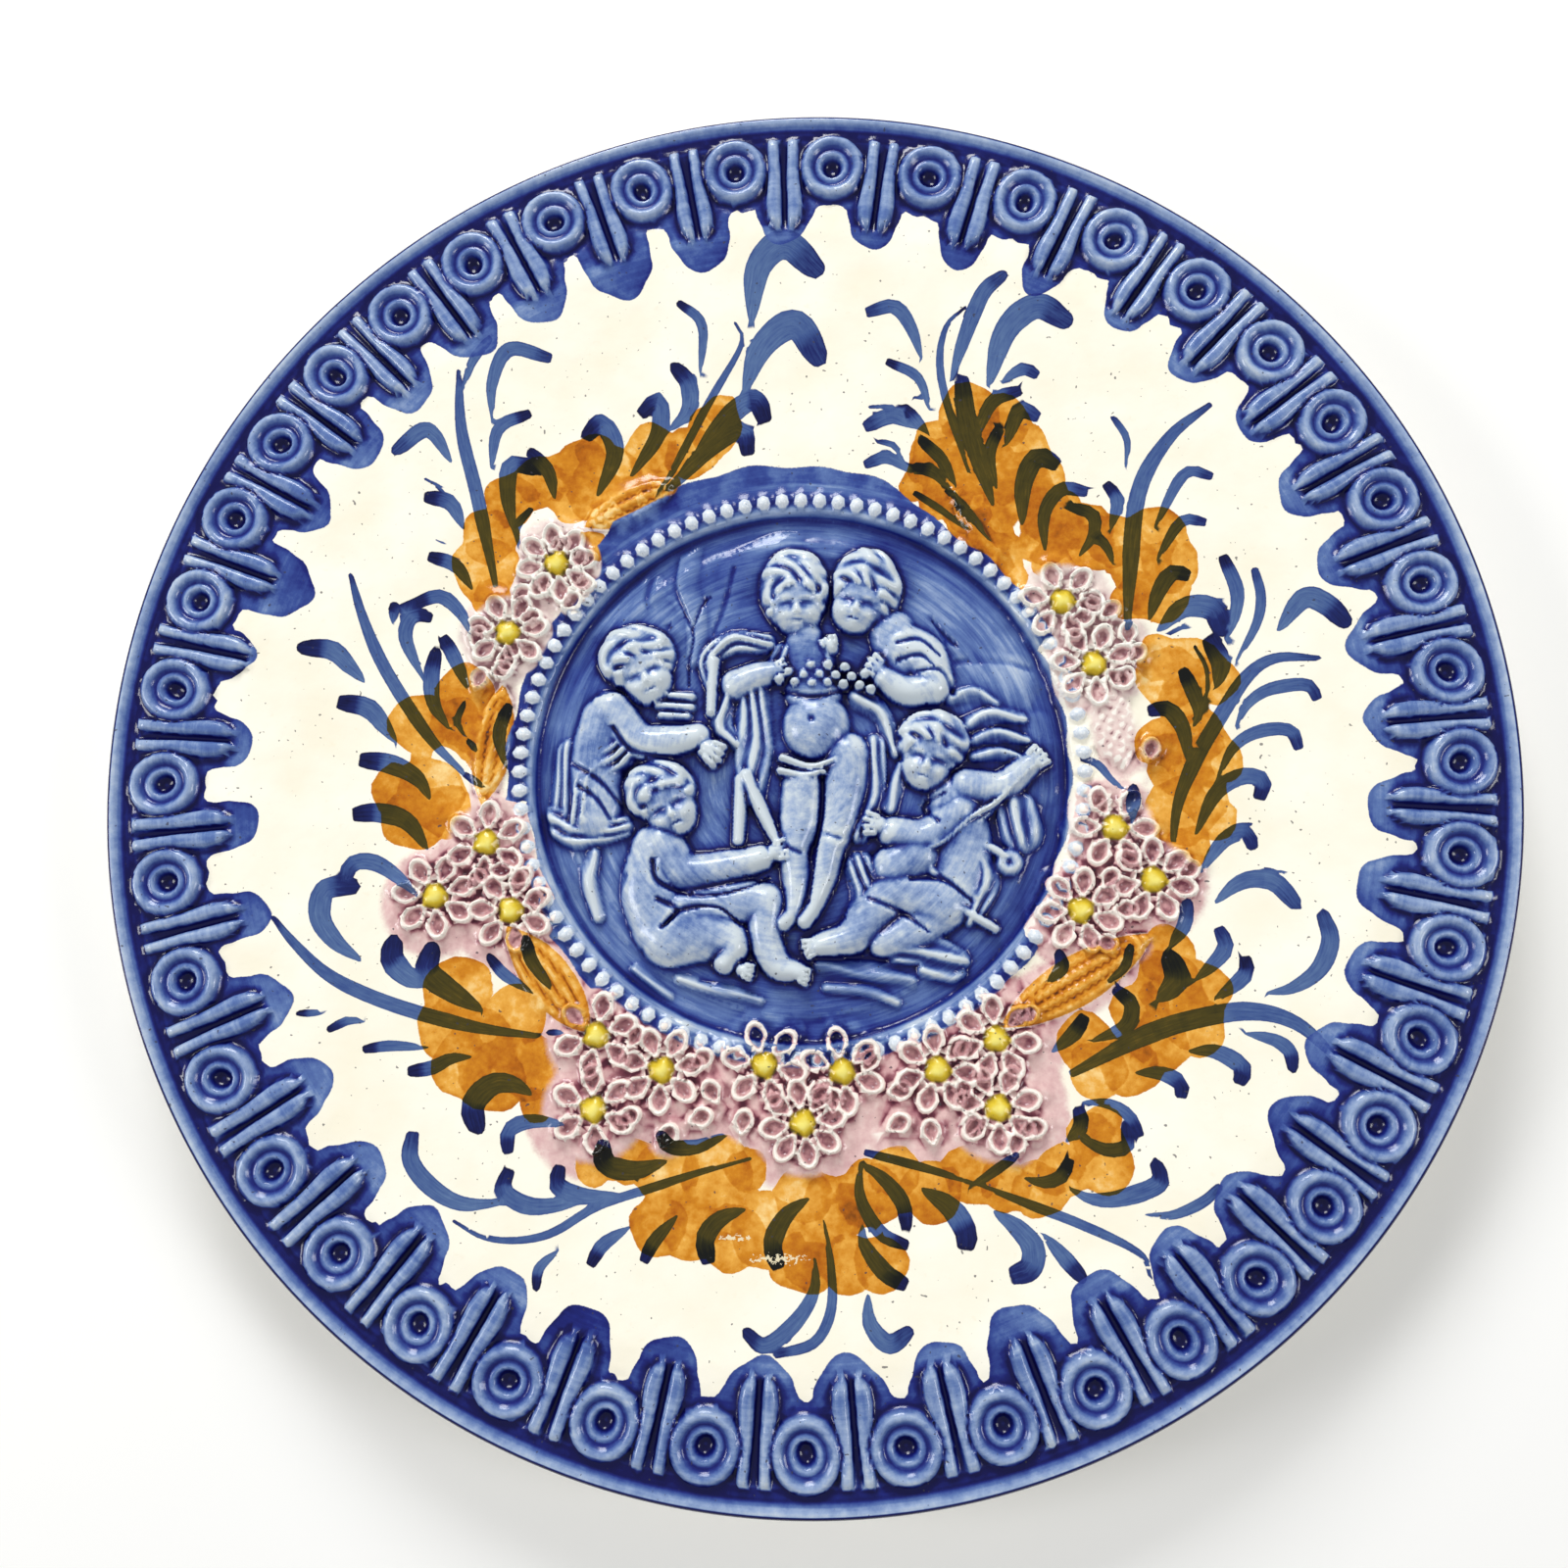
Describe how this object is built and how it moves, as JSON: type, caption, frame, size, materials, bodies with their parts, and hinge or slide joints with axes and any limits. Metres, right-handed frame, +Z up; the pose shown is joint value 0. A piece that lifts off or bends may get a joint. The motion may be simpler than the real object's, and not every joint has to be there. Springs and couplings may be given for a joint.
{
  "type": "decorative plate",
  "caption": "Relief-moulded earthenware wall plate: egg-and-dart rim, plain field, flower garland and a beaded medallion of children playing music.",
  "frame": {"origin": "on the table under the middle of the foot ring", "axes": "+Z up out of the face, +Y towards the top of the picture, +X to the picture's right"},
  "size_m": [0.3998, 0.3998, 0.0297],
  "materials": {
    "glazed_earthenware": "glossy cream tin glaze, hand painted in cobalt blue, ochre and manganese pink"
  },
  "bodies": {
    "root": {"plate": "glazed_earthenware"}
  },
  "joints": []
}
